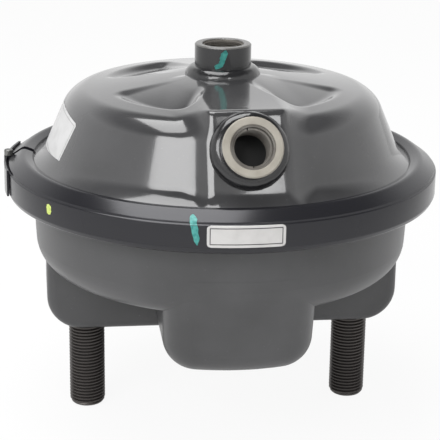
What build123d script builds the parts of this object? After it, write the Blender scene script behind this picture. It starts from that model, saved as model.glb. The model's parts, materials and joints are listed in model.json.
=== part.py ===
from build123d import *
import os
from math import atan2, cos, degrees, radians, sin

# Diaphragm air brake chamber for a disc brake. The origin is the centre of the
# mounting face, +Z is up the pushrod axis into the chamber, and the two studs
# stand along X. All lengths are in millimetres and all angles in degrees.

os.makedirs("parts", exist_ok=True)

# ---------------------------------------------------------------- driving sizes

# Mounting studs
stud_pitch = 120.65
stud_radius = 8.0
stud_projection = 41.6
stud_tip_round = 4.4
stud_head_radius = 11.5
stud_head_height = 8.0
stud_head_chamfer = 1.0
stud_shank_step = 0.4
stud_hole_clearance = 0.2

# Lower housing, pressed sheet
housing_wall = 3.0
bowl_floor_z = 26.0
bowl_rim_step = 2.9
bowl_draft = 2.1
bowl_corner_radius = 14.0
lobe_half_width_foot = 31.0
lobe_half_width_top = 32.4
lobe_draft = 5.2
lobe_rim_step = 1.1
lobe_blend_z = 44.0
lobe_plan_corner = 15.0
lobe_bottom_radius = 14.0
wing_overhang = 17.675
wing_half_width = 17.5
wing_end_radius = 15.0
wing_edge_radius = 4.0
wing_inner_edge_radius = 1.0
hub_radius = 30.0
hub_edge_radius = 1.5
rod_opening_radius = 21.5

# Reinforcing plate over the wing floor
stud_plate_thickness = 6.0
stud_plate_half_width = 13.6
stud_plate_step = 5.0
stud_plate_hub_radius = 26.8
seat_gap = 0.1

# Joint of the two housings
clamp_plane_z = 67.5
bead_thickness = 4.0
flange_thickness = 3.0
flange_width = 11.1
flange_edge_chamfer = 1.0
foot_round = 4.0

# Pressure housing, pressed sheet
cover_wall = 3.0
cover_foot_radius = 80.4
cover_shoulder_step = 13.9
cover_shoulder_z = 104.6
cover_shoulder_round = 12.3
cover_crown_z = 110.6
crown_seat_radius = 20.0
cover_clocking = 1.7
pad_width_top = 30.0
pad_width_foot = 33.0
pad_top_step = 15.2
pad_foot_step = 0.8
pad_top_z = 109.6
pad_foot_z = 79.0
pad_side_draft = 38.0
pad_edge_round = 2.0
pad_rise = 6.0
pad_depth = 55.0
pad_crown_z = 110.2
arm_half_width = 18.0
arm_side_slope = 0.8
arm_edge_round = 2.0
pocket_depth = 3.0
pocket_slope = 0.2
pocket_reach = 15.5
pocket_outline = [(15, -30), (19, -43.5), (30, -38), (40, -28.5), (42, -23), (53, -20.5), (41, -12)]

# Air connections
port_radius = 12.25
port_thread_radius = 7.25
port_countersink_radius = 9.0
port_countersink_depth = 2.2
top_port_z = 124.5
top_port_bead_radius = 16.5
side_port_face_step = 0.1
side_port_face_z = 99.4
side_port_bead_radius = 16.2
port_bead_height = 4.5
port_inner_step = 1.0

# Clamp ring
ring_step = 2.85
ring_sheet = 2.3
ring_wall_bottom_z = 61.8
ring_wall_top_z = 73.2
ring_crest_step = 7.15
ring_crest_rise = 4.0
ring_lip_step = 11.95
ring_lip_drop = 1.6
ring_lip_round = 2.0
ring_split_angle = 174.0
hasp_thickness = 0.9
hasp_span = 15.0
knuckle_wall = 0.7
knuckle_gap = 0.2
lock_pin_radius = 1.2
lock_pin_head_radius = 1.9
lock_pin_head_height = 2.6
lock_pin_head_round = 0.6
lock_pin_inset = 0.45
lock_running_gap = 0.1

# Diaphragm
diaphragm_thickness = 3.0
diaphragm_bead_width = 8.5
diaphragm_gap = 0.6
diaphragm_shoulder_inset = 4.0
diaphragm_round = 5.0

# Pressure plate and pushrod
plate_edge_step = 10.5
plate_thickness = 3.0
plate_rim_drop = 3.5
plate_corner_round = 4.0
socket_wall = 3.0
socket_gap = 0.1
ball_radius = 9.0
ball_headroom = 1.4
socket_lip = 4.0
rod_radius = 7.0
rod_tip_z = -15.0
rod_tip_length = 14.0
rod_tip_radius = 8.5
rod_tip_bore_depth = 6.0
rod_tip_gap = 0.05

# Boot round the pushrod
boot_wall = 1.6
boot_fold_outer_radius = 19.0
boot_fold_inner_radius = 13.5
boot_folds = 7
boot_flange_radius = 26.5
boot_flange_thickness = 2.0
boot_ball_gap = 12.0
boot_neck_height = 5.0
boot_gap = 0.05
boot_fold_round = 1.2
boot_clip_wall = 1.0
boot_clip_height = 2.0

# Spring seat ring and return spring
seat_ring_sheet = 1.5
seat_ring_radius = 28.5
seat_ring_inner_radius = 21.0
seat_ring_rim = 4.0
spring_wire_radius = 2.2
spring_foot_radius = 24.4
spring_head_radius = 40.0
spring_turns = 5.5
spring_gap = 0.3

# Seal in the rod opening and drain openings
seal_width = 2.0
seal_edge_round = 0.6
drain_radius = 4.0
drain_circle_radius = 58.0
drain_plug_flange_radius = 6.0
drain_plug_thickness = 1.6
drain_angles = [45, 135, 225, 315]
open_drain = 3

# ---------------------------------------------------------------- derived sizes

bowl_rim_radius = cover_foot_radius + bowl_rim_step
bowl_foot_radius = bowl_rim_radius - bowl_draft
lobe_reach_top = bowl_rim_radius - lobe_rim_step
lobe_reach_foot = lobe_reach_top - lobe_draft
wing_reach = stud_pitch / 2 + wing_overhang
stud_plate_reach = wing_reach - stud_plate_step
flange_radius = cover_foot_radius + flange_width
cover_shoulder_radius = cover_foot_radius - cover_shoulder_step
pad_reach_top = cover_foot_radius - pad_top_step
pad_reach_foot = cover_foot_radius - pad_foot_step
side_port_face_radius = cover_foot_radius - side_port_face_step
ring_radius = flange_radius + ring_step
ring_crest_radius = ring_radius - ring_crest_step
ring_lip_radius = ring_radius - ring_lip_step
lock_pin_circle_radius = ring_radius - lock_pin_inset
diaphragm_bead_inner_radius = flange_radius - diaphragm_bead_width
lower_flange_top_z = clamp_plane_z - bead_thickness / 2
lower_flange_bottom_z = lower_flange_top_z - flange_thickness
upper_flange_bottom_z = clamp_plane_z + bead_thickness / 2
upper_flange_top_z = upper_flange_bottom_z + flange_thickness
plate_floor_z = housing_wall + seat_gap
stud_plate_top_z = plate_floor_z + stud_plate_thickness
pad_tilt = degrees(atan2(pad_reach_foot - pad_reach_top, pad_top_z - pad_foot_z))
wall_slope = (cover_foot_radius - cover_shoulder_radius) / (cover_shoulder_z - upper_flange_top_z)
wall_lean = degrees(atan2(wall_slope, 1))
stud_places = [(-stud_pitch / 2, 0), (stud_pitch / 2, 0)]
pad_normal = (0, -cos(radians(pad_tilt)), sin(radians(pad_tilt)))
pad_plane = Plane(origin=(0, -pad_reach_top, pad_top_z), x_dir=(1, 0, 0), z_dir=pad_normal)
side_port_plane = Plane(
    origin=(0, -side_port_face_radius, side_port_face_z), x_dir=(1, 0, 0), z_dir=pad_normal
)
crown_slope = (cover_crown_z - cover_shoulder_z) / (cover_shoulder_radius - crown_seat_radius)
pocket_start_radius = Vector(*pocket_outline[0]).length
pocket_start_z = cover_crown_z - crown_slope * (pocket_start_radius - crown_seat_radius)
pocket_drop = pocket_reach * (pocket_slope + crown_slope)
plate_radius = cover_shoulder_radius - plate_edge_step
diaphragm_top_z = pocket_start_z - pocket_drop - cover_wall - diaphragm_gap
diaphragm_lean = (cover_wall + diaphragm_gap + diaphragm_thickness / 2) / cos(radians(wall_lean))
diaphragm_foot_radius = cover_foot_radius - diaphragm_lean + wall_slope * (upper_flange_top_z - clamp_plane_z)
diaphragm_narrowing = wall_slope * (diaphragm_top_z - clamp_plane_z)
diaphragm_shoulder_radius = diaphragm_foot_radius - diaphragm_narrowing - diaphragm_shoulder_inset
plate_top_z = diaphragm_top_z - diaphragm_thickness - seat_gap
ball_centre_z = plate_top_z - plate_thickness - ball_radius - ball_headroom
boot_top_z = ball_centre_z - boot_ball_gap
rod_end_z = rod_tip_z + rod_tip_length - rod_tip_bore_depth + rod_tip_gap
boot_foot_z = stud_plate_top_z
seat_foot_z = boot_foot_z + boot_flange_thickness
spring_foot_z = seat_foot_z + seat_ring_sheet + spring_wire_radius + spring_gap
spring_height = plate_top_z - plate_thickness - spring_wire_radius - spring_gap - spring_foot_z
lock_reach = lock_pin_radius + lock_running_gap + knuckle_wall
lock_pin_place = Vector(lock_pin_circle_radius, 0).rotate(Axis.Z, ring_split_angle)
hasp_inner_radius = ring_radius + seat_gap / 2
side_port_stand = pad_plane.to_local_coords(side_port_plane.origin).Z
side_port_length = side_port_stand + cover_wall + port_inner_step
top_port_length = top_port_z - cover_crown_z + cover_wall + port_inner_step


# ---------------------------------------------------------------- shared forms


def lower_form(inset, top_z):
    """Solid within the lower housing's outer face, shrunk by inset and closed at top_z."""
    with BuildPart() as bowl:
        with BuildSketch(Plane.XZ) as bowl_half:
            with BuildLine():
                Polyline(
                    (0, bowl_floor_z + inset),
                    (bowl_foot_radius - inset, bowl_floor_z + inset),
                    (bowl_rim_radius - inset, top_z),
                    (0, top_z),
                    close=True,
                )
            make_face()
            corner = bowl_half.vertices().group_by(Axis.Y)[0].sort_by(Axis.X)[-1]
            fillet(corner, radius=bowl_corner_radius - inset)
        revolve(axis=Axis.Z)

    levels = [
        (inset, lobe_half_width_foot, lobe_reach_foot),
        (lobe_blend_z, lobe_half_width_top, lobe_reach_top),
    ]
    with BuildPart() as lobes:
        for level, half_width, reach in levels:
            with BuildSketch(Plane.XY.offset(level)) as lobe_plan:
                Circle(reach - inset)
                Rectangle(2 * (half_width - inset), 2 * reach, mode=Mode.INTERSECT)
                fillet(lobe_plan.vertices(), radius=lobe_plan_corner - inset)
        loft()
        fillet(lobes.edges().group_by(Axis.Z)[0], radius=lobe_bottom_radius - inset)

    with BuildPart() as wings:
        with BuildSketch(Plane.XZ) as wing_side:
            with BuildLine():
                Polyline(
                    (-wing_reach + inset, inset),
                    (wing_reach - inset, inset),
                    (wing_reach - inset, lobe_blend_z),
                    (-wing_reach + inset, lobe_blend_z),
                    close=True,
                )
            make_face()
            fillet(wing_side.vertices().group_by(Axis.Y)[0], radius=wing_end_radius - inset)
        extrude(amount=wing_half_width - inset, both=True)
        wing_rim = wings.faces().filter_by(Axis.Y).edges() - wings.edges().group_by(Axis.Z)[-1]
        fillet(wing_rim, radius=max(wing_edge_radius - inset, wing_inner_edge_radius))

    with BuildPart() as hub:
        with Locations((0, 0, inset)):
            Cylinder(hub_radius - inset, bowl_floor_z / 2, align=(Align.CENTER, Align.CENTER, Align.MIN))
        fillet(hub.edges().group_by(Axis.Z)[0], radius=hub_edge_radius)

    with BuildPart() as form:
        add([bowl.part, lobes.part, wings.part, hub.part])
    return form.part


def cover_body(inset, bottom_z):
    """Round body of the pressure housing, shrunk by inset and cut off at bottom_z."""
    lean_inset = inset / cos(radians(wall_lean))
    foot_radius = cover_foot_radius - lean_inset + wall_slope * (upper_flange_top_z - bottom_z)
    shoulder_radius = cover_shoulder_radius - lean_inset + wall_slope * inset
    seat_radius = crown_seat_radius - inset * crown_slope / 2
    with BuildPart() as body:
        with BuildSketch(Plane.XZ) as body_half:
            with BuildLine():
                Polyline(
                    (0, bottom_z),
                    (foot_radius, bottom_z),
                    (shoulder_radius, cover_shoulder_z - inset),
                    (seat_radius, cover_crown_z - inset),
                    (0, cover_crown_z - inset),
                    close=True,
                )
            make_face()
            shoulder = body_half.vertices().sort_by(Axis.X)[-2]
            fillet(shoulder, radius=cover_shoulder_round - inset)
        revolve(axis=Axis.Z)
    return body.part


def port_pad(inset, bottom_z):
    """Flat pad that carries the side port, with the raised arm that joins it to the crown."""
    slant = (pad_top_z - bottom_z) / cos(radians(pad_tilt))
    ridge_z = pad_crown_z - inset
    side_run = (ridge_z - bottom_z) / arm_side_slope
    with BuildPart() as roof:
        with BuildSketch(Plane.XZ) as roof_section:
            with BuildLine():
                Polyline(
                    (-arm_half_width, ridge_z),
                    (arm_half_width, ridge_z),
                    (arm_half_width + side_run, bottom_z),
                    (-arm_half_width - side_run, bottom_z),
                    close=True,
                )
            make_face()
            fillet(roof_section.vertices().group_by(Axis.Y)[-1], radius=arm_edge_round)
        extrude(amount=cover_foot_radius + pad_rise)
    with BuildPart() as pad:
        with BuildSketch(pad_plane.offset(-inset)):
            with BuildLine():
                Polyline(
                    (-pad_width_top / 2 + inset / 2, pad_rise),
                    (-pad_width_foot / 2 + inset / 2, -slant),
                    (pad_width_foot / 2 - inset / 2, -slant),
                    (pad_width_top / 2 - inset / 2, pad_rise),
                    close=True,
                )
            make_face()
        extrude(amount=pad_depth, dir=-pad_plane.z_dir, taper=-pad_side_draft)
        add(roof.part, mode=Mode.INTERSECT)
        front = pad.faces().sort_by(Axis((0, 0, 0), pad_normal))[-1]
        fillet(front.edges() - pad.edges().group_by(Axis.Z)[0], radius=pad_edge_round)
    return pad.part


def crown_pocket(inset):
    """Wedge that presses one shallow pocket into the crown, deepest along its outer edge."""
    (inner_start, inner_end) = (Vector(*pocket_outline[0]), Vector(*pocket_outline[-1]))
    run = inner_end - inner_start
    outward = Vector(run.Y, -run.X, 0).normalized()
    fall = Vector(outward.X, outward.Y, -pocket_slope - crown_slope)
    floor = Plane(
        origin=(inner_start.X, inner_start.Y, pocket_start_z - inset),
        x_dir=run.normalized(),
        z_dir=run.cross(fall) if run.cross(fall).Z > 0 else fall.cross(run),
    )
    with BuildPart() as pocket:
        with BuildSketch(Plane.XY.offset(cover_crown_z - inset - 2 * pocket_depth)):
            with BuildLine():
                Polyline(*pocket_outline, close=True)
            make_face()
            if inset:
                offset(amount=inset)
        extrude(amount=4 * pocket_depth)
        split(bisect_by=floor, keep=Keep.TOP)
    return pocket.part


def cover_form(inset, bottom_z):
    """Solid within the pressure housing's outer face, shrunk by inset and cut off at bottom_z."""
    with BuildPart() as form:
        add(cover_body(inset, bottom_z))
        add(port_pad(inset, bottom_z))
        quarter = crown_pocket(inset)
        half = [quarter, quarter.mirror(Plane.YZ)]
        add(half, mode=Mode.SUBTRACT)
        add([wedge.mirror(Plane.XZ) for wedge in half], mode=Mode.SUBTRACT)
    return form.part


# ---------------------------------------------------------------- housings

with BuildPart() as lower_housing:
    add(lower_form(0, lower_flange_top_z))
    with BuildSketch(Plane.XZ) as lower_flange_half:
        with BuildLine():
            Polyline(
                (bowl_rim_radius - housing_wall / 2, lower_flange_top_z),
                (flange_radius, lower_flange_top_z),
                (flange_radius, lower_flange_bottom_z + flange_edge_chamfer),
                (flange_radius - flange_edge_chamfer, lower_flange_bottom_z),
                (bowl_rim_radius, lower_flange_bottom_z),
                (bowl_rim_radius - housing_wall / 2, lower_flange_bottom_z - 2 * foot_round),
                close=True,
            )
        make_face()
        lower_foot = (bowl_rim_radius, lower_flange_bottom_z)
        fillet(lower_flange_half.vertices().sort_by_distance(lower_foot)[0], radius=foot_round)
    revolve(axis=Axis.Z)
    add(lower_form(housing_wall, lower_flange_top_z + housing_wall), mode=Mode.SUBTRACT)
    Cylinder(rod_opening_radius, 4 * housing_wall, mode=Mode.SUBTRACT)
    with Locations(*stud_places):
        Cylinder(stud_radius + stud_hole_clearance, 4 * housing_wall, mode=Mode.SUBTRACT)
    with Locations((0, 0, bowl_floor_z)):
        with PolarLocations(drain_circle_radius, len(drain_angles), start_angle=drain_angles[0]):
            Cylinder(drain_radius, 4 * housing_wall, mode=Mode.SUBTRACT)
lower_housing.part.label = "lower_housing"
export_step(lower_housing.part, "parts/lower_housing.step")

with BuildPart() as pressure_housing:
    add(cover_form(0, upper_flange_top_z))
    with BuildSketch(Plane.XZ) as upper_flange_half:
        with BuildLine():
            Polyline(
                (0, upper_flange_bottom_z),
                (flange_radius, upper_flange_bottom_z),
                (flange_radius, upper_flange_top_z - flange_edge_chamfer),
                (flange_radius - flange_edge_chamfer, upper_flange_top_z),
                (cover_foot_radius, upper_flange_top_z),
                (cover_foot_radius - 2 * foot_round * wall_slope, upper_flange_top_z + 2 * foot_round),
                (0, upper_flange_top_z + 2 * foot_round),
                close=True,
            )
        make_face()
        upper_foot = (cover_foot_radius, upper_flange_top_z)
        fillet(upper_flange_half.vertices().sort_by_distance(upper_foot)[0], radius=foot_round)
    revolve(axis=Axis.Z)
    add(cover_form(cover_wall, upper_flange_bottom_z), mode=Mode.SUBTRACT)
    with Locations((0, 0, cover_crown_z)):
        Cylinder(port_radius + seat_gap, 6 * cover_wall, mode=Mode.SUBTRACT)
    with Locations(side_port_plane):
        Cylinder(port_radius + seat_gap, 2 * side_port_length, mode=Mode.SUBTRACT)
turned_housing = pressure_housing.part.rotate(Axis.Z, cover_clocking)
turned_housing.label = "pressure_housing"
export_step(turned_housing, "parts/pressure_housing.step")


# ---------------------------------------------------------------- air connections


def port_boss(length, bead_radius, bead_drop):
    """Threaded boss standing on its bead: face at z = 0, body running down the -Z axis."""
    with BuildPart() as boss:
        with BuildSketch(Plane.XZ):
            with BuildLine():
                Line((port_thread_radius, -length), (port_radius, -length))
                Line((port_radius, -length), (port_radius, -bead_drop))
                Line((port_radius, -bead_drop), (bead_radius, -bead_drop))
                EllipticalCenterArc(
                    (port_radius, -bead_drop),
                    bead_radius - port_radius,
                    port_bead_height,
                    start_angle=0,
                    arc_size=90,
                )
                Polyline(
                    (port_radius, -bead_drop + port_bead_height),
                    (port_radius, 0),
                    (port_countersink_radius, 0),
                    (port_thread_radius, -port_countersink_depth),
                    (port_thread_radius, -length),
                )
            make_face()
        revolve(axis=Axis.Z)
    return boss.part


top_port_boss = port_boss(top_port_length, top_port_bead_radius, top_port_z - cover_crown_z)
top_port_boss = top_port_boss.moved(Location((0, 0, top_port_z)))
top_port_boss.label = "top_port_boss"
export_step(top_port_boss, "parts/top_port_boss.step")

side_port_boss = port_boss(side_port_length, side_port_bead_radius, side_port_stand)
side_port_boss = side_port_boss.moved(side_port_plane.location).rotate(Axis.Z, cover_clocking)
side_port_boss.label = "side_port_boss"
export_step(side_port_boss, "parts/side_port_boss.step")


# ---------------------------------------------------------------- mounting studs

with BuildPart() as stud_plate:
    with BuildSketch(Plane.XY.offset(plate_floor_z)):
        Rectangle(2 * stud_plate_reach, 2 * stud_plate_half_width)
        Circle(stud_plate_hub_radius)
    extrude(amount=stud_plate_thickness)
    add(lower_form(plate_floor_z, lobe_blend_z), mode=Mode.INTERSECT)
    Cylinder(rod_opening_radius, 4 * stud_plate_thickness, mode=Mode.SUBTRACT)
    with Locations(*stud_places):
        Cylinder(stud_radius + stud_hole_clearance, 4 * stud_plate_thickness, mode=Mode.SUBTRACT)
stud_plate.part.label = "stud_plate"
export_step(stud_plate.part, "parts/stud_plate.step")

with BuildPart() as stud:
    with BuildSketch(Plane.XY.offset(-stud_projection)):
        Circle(stud_radius)
    extrude(amount=stud_projection)
    fillet(stud.edges().group_by(Axis.Z)[0], radius=stud_tip_round)
    with BuildSketch(Plane.XY):
        Circle(stud_radius - stud_shank_step)
    extrude(amount=stud_plate_top_z)
    with BuildSketch(Plane.XY.offset(stud_plate_top_z)):
        Circle(stud_head_radius)
    extrude(amount=stud_head_height)
    chamfer(stud.edges().group_by(Axis.Z)[-1], length=stud_head_chamfer)
for side, place in zip(["left", "right"], stud_places):
    mounting_stud = stud.part.moved(Location((*place, 0)))
    mounting_stud.label = f"mounting_stud_{side}"
    export_step(mounting_stud, f"parts/mounting_stud_{side}.step")


# ---------------------------------------------------------------- clamp ring and its lock

with BuildPart() as clamp_ring:
    with BuildSketch(Plane.XZ):
        with BuildLine() as ring_path:
            half_sheet = ring_sheet / 2
            crest_z = ring_wall_top_z + ring_crest_rise - half_sheet
            FilletPolyline(
                (ring_crest_radius, ring_wall_bottom_z - ring_crest_rise + half_sheet),
                (ring_radius - half_sheet, ring_wall_bottom_z + half_sheet / 2),
                (ring_radius - half_sheet, ring_wall_top_z - half_sheet / 2),
                (ring_crest_radius, crest_z),
                (ring_lip_radius + half_sheet, crest_z - ring_lip_drop),
                radius=ring_lip_round,
            )
        trace(ring_path.line, line_width=ring_sheet)
    revolve(axis=Axis.Z)
    with BuildSketch(Plane.XY.offset(clamp_plane_z)):
        with PolarLocations(lock_pin_circle_radius, 1, start_angle=ring_split_angle):
            Rectangle(ring_radius / 2, 2 * (lock_reach + knuckle_gap))
    extrude(amount=ring_radius, both=True, mode=Mode.SUBTRACT)
clamp_ring.part.label = "clamp_ring"
export_step(clamp_ring.part, "parts/clamp_ring.step")


def hasp(bands, turn):
    """Strap on the ring's wall, running the way of turn, with one knuckle for each (bottom, top) band."""
    strap_start = degrees((lock_reach + knuckle_gap) / hasp_inner_radius)
    tab_start = degrees((lock_reach - knuckle_wall / 2) / hasp_inner_radius)
    pieces = [(ring_wall_bottom_z, ring_wall_top_z, strap_start, hasp_span)]
    pieces += [(bottom, top, tab_start, strap_start) for bottom, top in bands]
    with BuildPart() as strap:
        for bottom, top, start, end in pieces:
            first = ring_split_angle + turn * start
            with BuildSketch(Plane.XY.offset(bottom)):
                with BuildLine():
                    inner = CenterArc((0, 0), hasp_inner_radius, first, turn * (end - start))
                    outer = CenterArc((0, 0), hasp_inner_radius + hasp_thickness, first, turn * (end - start))
                    Line(inner @ 0, outer @ 0)
                    Line(inner @ 1, outer @ 1)
                make_face()
            extrude(amount=top - bottom)
        for bottom, top in bands:
            with BuildSketch(Plane.XY.offset(bottom)):
                with Locations(lock_pin_place):
                    Circle(lock_reach)
                    Circle(lock_reach - knuckle_wall, mode=Mode.SUBTRACT)
            extrude(amount=top - bottom)
    return strap.part


knuckle_height = (ring_wall_top_z - ring_wall_bottom_z) / 4
middle_band = [(ring_wall_bottom_z + knuckle_height, ring_wall_top_z - knuckle_height)]
outer_bands = [
    (ring_wall_bottom_z, ring_wall_bottom_z + knuckle_height - knuckle_gap),
    (ring_wall_top_z - knuckle_height + knuckle_gap, ring_wall_top_z),
]
for name, bands, turn in [("front", outer_bands, 1), ("rear", middle_band, -1)]:
    ring_hasp = hasp(bands, turn)
    ring_hasp.label = f"ring_hasp_{name}"
    export_step(ring_hasp, f"parts/ring_hasp_{name}.step")

with BuildPart() as ring_lock_pin:
    with BuildSketch(Plane.XY.offset(ring_wall_bottom_z - knuckle_gap)):
        with Locations(lock_pin_place):
            Circle(lock_pin_radius)
    extrude(amount=ring_wall_top_z - ring_wall_bottom_z + 2 * knuckle_gap)
    with BuildSketch(Plane.XY.offset(ring_wall_top_z + knuckle_gap)):
        with Locations(lock_pin_place):
            Circle(lock_pin_head_radius)
    extrude(amount=lock_pin_head_height)
    fillet(ring_lock_pin.edges().group_by(Axis.Z)[-1], radius=lock_pin_head_round)
ring_lock_pin.part.label = "ring_lock_pin"
export_step(ring_lock_pin.part, "parts/ring_lock_pin.step")


# ---------------------------------------------------------------- diaphragm

with BuildPart() as diaphragm:
    with BuildSketch(Plane.XZ):
        with BuildLine() as diaphragm_path:
            FilletPolyline(
                (0, diaphragm_top_z - diaphragm_thickness / 2),
                (diaphragm_shoulder_radius, diaphragm_top_z - diaphragm_thickness / 2),
                (diaphragm_foot_radius, clamp_plane_z),
                (diaphragm_bead_inner_radius + diaphragm_thickness, clamp_plane_z),
                radius=diaphragm_round,
            )
        trace(diaphragm_path.line, line_width=diaphragm_thickness)
        with Locations(((diaphragm_bead_inner_radius + flange_radius) / 2, clamp_plane_z)):
            Rectangle(flange_radius - diaphragm_bead_inner_radius, bead_thickness)
        split(bisect_by=Plane.YZ, keep=Keep.TOP)
    revolve(axis=Axis.Z)
diaphragm.part.label = "diaphragm"
export_step(diaphragm.part, "parts/diaphragm.step")


# ---------------------------------------------------------------- pressure plate and pushrod

with BuildPart() as pressure_plate:
    with BuildSketch(Plane.XZ) as plate_half:
        with BuildLine():
            Polyline(
                (0, plate_top_z),
                (plate_radius, plate_top_z),
                (plate_radius, plate_top_z - plate_thickness - plate_rim_drop),
                (plate_radius - plate_thickness, plate_top_z - plate_thickness - plate_rim_drop),
                (plate_radius - plate_thickness, plate_top_z - plate_thickness),
                (0, plate_top_z - plate_thickness),
                close=True,
            )
        make_face()
        plate_corner = (plate_radius, plate_top_z)
        fillet(plate_half.vertices().sort_by_distance(plate_corner)[0], radius=plate_corner_round)
    revolve(axis=Axis.Z)
pressure_plate.part.label = "pressure_plate"
export_step(pressure_plate.part, "parts/pressure_plate.step")

with BuildPart() as rod_socket:
    with BuildSketch(Plane.XY.offset(ball_centre_z - socket_lip)):
        Circle(ball_radius + socket_gap + socket_wall)
    extrude(amount=plate_top_z - plate_thickness - ball_centre_z + socket_lip)
    fillet(rod_socket.edges().group_by(Axis.Z)[0], radius=socket_wall / 3)
    with Locations((0, 0, ball_centre_z)):
        Sphere(ball_radius + socket_gap, mode=Mode.SUBTRACT)
rod_socket.part.label = "rod_socket"
export_step(rod_socket.part, "parts/rod_socket.step")

with BuildPart() as pushrod:
    with BuildSketch(Plane.XY.offset(rod_end_z)):
        Circle(rod_radius)
    extrude(amount=ball_centre_z - rod_end_z)
    with Locations((0, 0, ball_centre_z)):
        Sphere(ball_radius)
pushrod.part.label = "pushrod"
export_step(pushrod.part, "parts/pushrod.step")

with BuildPart() as rod_tip:
    with BuildSketch(Plane.XZ):
        with BuildLine():
            Line((0, rod_tip_z + rod_tip_length), (0, rod_tip_z))
            CenterArc((0, rod_tip_z + rod_tip_radius), rod_tip_radius, -90, 90)
            Line((rod_tip_radius, rod_tip_z + rod_tip_radius), (rod_tip_radius, rod_tip_z + rod_tip_length))
            Line((rod_tip_radius, rod_tip_z + rod_tip_length), (0, rod_tip_z + rod_tip_length))
        make_face()
    revolve(axis=Axis.Z)
    with BuildSketch(Plane.XY.offset(rod_tip_z + rod_tip_length)):
        Circle(rod_radius + rod_tip_gap)
    extrude(amount=-rod_tip_bore_depth, mode=Mode.SUBTRACT)
rod_tip.part.label = "rod_tip"
export_step(rod_tip.part, "parts/rod_tip.step")


# ---------------------------------------------------------------- boot, spring seat and return spring

fold_pitch = (boot_top_z - boot_foot_z - boot_flange_thickness) / boot_folds
fold_points = []
for fold in range(boot_folds):
    fold_z = boot_foot_z + boot_flange_thickness + fold * fold_pitch
    fold_points += [
        (boot_fold_outer_radius, fold_z + fold_pitch * 0.25),
        (boot_fold_inner_radius, fold_z + fold_pitch * 0.75),
    ]

with BuildPart() as boot:
    with BuildSketch(Plane.XZ):
        with BuildLine() as boot_path:
            FilletPolyline(
                (boot_flange_radius - boot_wall, boot_foot_z + boot_wall / 2),
                (boot_fold_inner_radius, boot_foot_z + boot_wall / 2),
                *fold_points,
                (rod_radius + boot_gap + boot_wall / 2, boot_top_z),
                (rod_radius + boot_gap + boot_wall / 2, boot_top_z + boot_neck_height),
                radius=boot_fold_round,
            )
        trace(boot_path.line, line_width=boot_wall)
        with Locations((boot_flange_radius - boot_wall, boot_foot_z + boot_flange_thickness / 2)):
            Rectangle(2 * boot_wall, boot_flange_thickness)
    revolve(axis=Axis.Z)
boot.part.label = "boot"
export_step(boot.part, "parts/boot.step")

with BuildPart() as boot_clip:
    with BuildSketch(Plane.XY.offset(boot_top_z + boot_neck_height / 2)):
        Circle(rod_radius + 2 * boot_gap + boot_wall + boot_clip_wall)
        Circle(rod_radius + 2 * boot_gap + boot_wall, mode=Mode.SUBTRACT)
    extrude(amount=boot_clip_height)
boot_clip.part.label = "boot_clip"
export_step(boot_clip.part, "parts/boot_clip.step")

with BuildPart() as spring_seat:
    with BuildSketch(Plane.XZ):
        with BuildLine() as seat_path:
            Polyline(
                (seat_ring_inner_radius, seat_foot_z + seat_ring_sheet / 2),
                (seat_ring_radius - seat_ring_sheet / 2, seat_foot_z + seat_ring_sheet / 2),
                (seat_ring_radius - seat_ring_sheet / 2, seat_foot_z + seat_ring_rim),
            )
        trace(seat_path.line, line_width=seat_ring_sheet)
    revolve(axis=Axis.Z)
spring_seat.part.label = "spring_seat"
export_step(spring_seat.part, "parts/spring_seat.step")

with BuildPart() as return_spring:
    with BuildLine() as spring_path:
        Helix(
            pitch=spring_height / spring_turns,
            height=spring_height,
            radius=spring_foot_radius,
            center=(0, 0, spring_foot_z),
            cone_angle=degrees(atan2(spring_head_radius - spring_foot_radius, spring_height)),
        )
    with BuildSketch(Plane(origin=spring_path.line @ 0, z_dir=spring_path.line % 0)):
        Circle(spring_wire_radius)
    sweep(path=spring_path.line, is_frenet=True)
return_spring.part.label = "return_spring"
export_step(return_spring.part, "parts/return_spring.step")


# ---------------------------------------------------------------- seal and drain plugs

with BuildPart() as flange_seal:
    with BuildSketch(Plane.XY):
        Circle(rod_opening_radius)
        Circle(rod_opening_radius - seal_width, mode=Mode.SUBTRACT)
    extrude(amount=plate_floor_z)
    fillet(flange_seal.edges().group_by(Axis.Z)[0].sort_by(SortBy.RADIUS)[0], radius=seal_edge_round)
flange_seal.part.label = "flange_seal"
export_step(flange_seal.part, "parts/flange_seal.step")

with BuildPart() as drain_plugs:
    plug_angles = [angle for number, angle in enumerate(drain_angles) if number != open_drain]
    plug_places = [Vector(drain_circle_radius, 0).rotate(Axis.Z, angle) for angle in plug_angles]
    with BuildSketch(Plane.XY.offset(bowl_floor_z - drain_plug_thickness)):
        with Locations(*plug_places):
            Circle(drain_plug_flange_radius)
    extrude(amount=drain_plug_thickness)
    with BuildSketch(Plane.XY.offset(bowl_floor_z)):
        with Locations(*plug_places):
            Circle(drain_radius - seat_gap)
    extrude(amount=housing_wall + drain_plug_thickness)
drain_plugs.part.label = "drain_plugs"
export_step(drain_plugs.part, "parts/drain_plugs.step")
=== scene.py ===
import json
import logging
import math
from dataclasses import dataclass, field
from enum import Enum
from typing import Callable, Iterable, Optional, Sequence

import bmesh
import bpy
import numpy as np
from mathutils import Matrix, Vector, noise


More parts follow.
